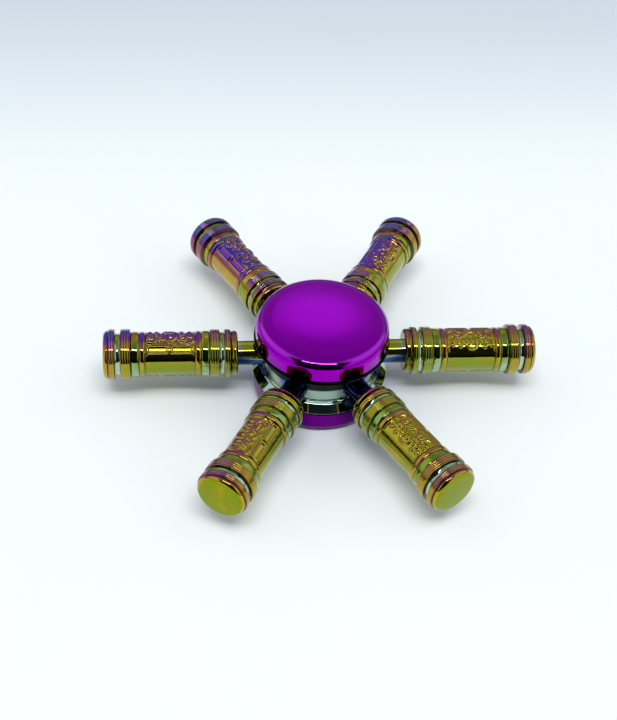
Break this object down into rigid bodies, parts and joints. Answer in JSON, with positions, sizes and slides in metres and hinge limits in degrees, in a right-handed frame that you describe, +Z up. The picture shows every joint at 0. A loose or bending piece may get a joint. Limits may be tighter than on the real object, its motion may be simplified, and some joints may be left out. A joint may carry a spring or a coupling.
{
  "type": "fidget spinner",
  "caption": "Metal fidget spinner: ringed barrel arms on studs around a spool hub that turns on a ball bearing between two domed finger caps.",
  "frame": {"origin": "centre of the bottom finger cap's resting face, on the spin axis", "axes": "+Z up along the spin axis, +X along the first arm"},
  "size_m": [0.0752, 0.0686, 0.0164],
  "materials": {
    "cap_metal": "mirror-polished, violet plated",
    "hub_metal": "mirror-polished dark chrome with a blue cast",
    "race_steel": "ground bearing steel",
    "cage_brass": "stamped, satin",
    "ball_steel": "polished bearing balls",
    "stud_metal": "polished, gold to blue tint",
    "barrel_metal": "rainbow plated, glossy cast relief"
  },
  "bodies": {
    "caps": {"finger_cap_top": "cap_metal", "finger_cap_bottom": "cap_metal", "bearing_inner_race": "race_steel"},
    "rotor": {"hub_spool": "hub_metal", "bearing_outer_race": "race_steel", "arm_stud_1": "stud_metal", "arm_stud_2": "stud_metal", "arm_stud_3": "stud_metal", "arm_stud_4": "stud_metal", "arm_stud_5": "stud_metal", "arm_stud_6": "stud_metal", "arm_barrel_1": "barrel_metal", "arm_barrel_2": "barrel_metal", "arm_barrel_3": "barrel_metal", "arm_barrel_4": "barrel_metal", "arm_barrel_5": "barrel_metal", "arm_barrel_6": "barrel_metal"},
    "ball_cage": {"bearing_cage": "cage_brass"},
    "ball_1": {"bearing_ball_1": "ball_steel"},
    "ball_2": {"bearing_ball_2": "ball_steel"},
    "ball_3": {"bearing_ball_3": "ball_steel"},
    "ball_4": {"bearing_ball_4": "ball_steel"},
    "ball_5": {"bearing_ball_5": "ball_steel"},
    "ball_6": {"bearing_ball_6": "ball_steel"},
    "ball_7": {"bearing_ball_7": "ball_steel"},
    "ball_8": {"bearing_ball_8": "ball_steel"},
    "ball_9": {"bearing_ball_9": "ball_steel"},
    "ball_10": {"bearing_ball_10": "ball_steel"}
  },
  "joints": [
    {"name": "rotor_spin", "type": "hinge", "parent": "caps", "child": "rotor", "pos_m": [0, 0, 0.0082], "axis": [0, 0, 1], "continuous": true},
    {"name": "cage_orbit", "type": "hinge", "parent": "caps", "child": "ball_cage", "pos_m": [0, 0, 0.0082], "axis": [0, 0, 1], "continuous": true},
    {"name": "ball_1_roll", "type": "hinge", "parent": "ball_cage", "child": "ball_1", "pos_m": [0.00476, 0, 0.0082], "axis": [0, 0, 1], "continuous": true},
    {"name": "ball_2_roll", "type": "hinge", "parent": "ball_cage", "child": "ball_2", "pos_m": [0.00385, 0.0028, 0.0082], "axis": [0, 0, 1], "continuous": true},
    {"name": "ball_3_roll", "type": "hinge", "parent": "ball_cage", "child": "ball_3", "pos_m": [0.00147, 0.00453, 0.0082], "axis": [0, 0, 1], "continuous": true},
    {"name": "ball_4_roll", "type": "hinge", "parent": "ball_cage", "child": "ball_4", "pos_m": [-0.00147, 0.00453, 0.0082], "axis": [0, 0, 1], "continuous": true},
    {"name": "ball_5_roll", "type": "hinge", "parent": "ball_cage", "child": "ball_5", "pos_m": [-0.00385, 0.0028, 0.0082], "axis": [0, 0, 1], "continuous": true},
    {"name": "ball_6_roll", "type": "hinge", "parent": "ball_cage", "child": "ball_6", "pos_m": [-0.00476, 0, 0.0082], "axis": [0, 0, 1], "continuous": true},
    {"name": "ball_7_roll", "type": "hinge", "parent": "ball_cage", "child": "ball_7", "pos_m": [-0.00385, -0.0028, 0.0082], "axis": [0, 0, 1], "continuous": true},
    {"name": "ball_8_roll", "type": "hinge", "parent": "ball_cage", "child": "ball_8", "pos_m": [-0.00147, -0.00453, 0.0082], "axis": [0, 0, 1], "continuous": true},
    {"name": "ball_9_roll", "type": "hinge", "parent": "ball_cage", "child": "ball_9", "pos_m": [0.00147, -0.00453, 0.0082], "axis": [0, 0, 1], "continuous": true},
    {"name": "ball_10_roll", "type": "hinge", "parent": "ball_cage", "child": "ball_10", "pos_m": [0.00385, -0.0028, 0.0082], "axis": [0, 0, 1], "continuous": true}
  ],
  "couplings": [
    {"joint": "cage_orbit", "follows": "rotor_spin", "ratio": 0.58336},
    {"joint": "ball_1_roll", "follows": "rotor_spin", "ratio": 2.9157},
    {"joint": "ball_2_roll", "follows": "rotor_spin", "ratio": 2.9157},
    {"joint": "ball_3_roll", "follows": "rotor_spin", "ratio": 2.9157},
    {"joint": "ball_4_roll", "follows": "rotor_spin", "ratio": 2.9157},
    {"joint": "ball_5_roll", "follows": "rotor_spin", "ratio": 2.9157},
    {"joint": "ball_6_roll", "follows": "rotor_spin", "ratio": 2.9157},
    {"joint": "ball_7_roll", "follows": "rotor_spin", "ratio": 2.9157},
    {"joint": "ball_8_roll", "follows": "rotor_spin", "ratio": 2.9157},
    {"joint": "ball_9_roll", "follows": "rotor_spin", "ratio": 2.9157},
    {"joint": "ball_10_roll", "follows": "rotor_spin", "ratio": 2.9157}
  ]
}
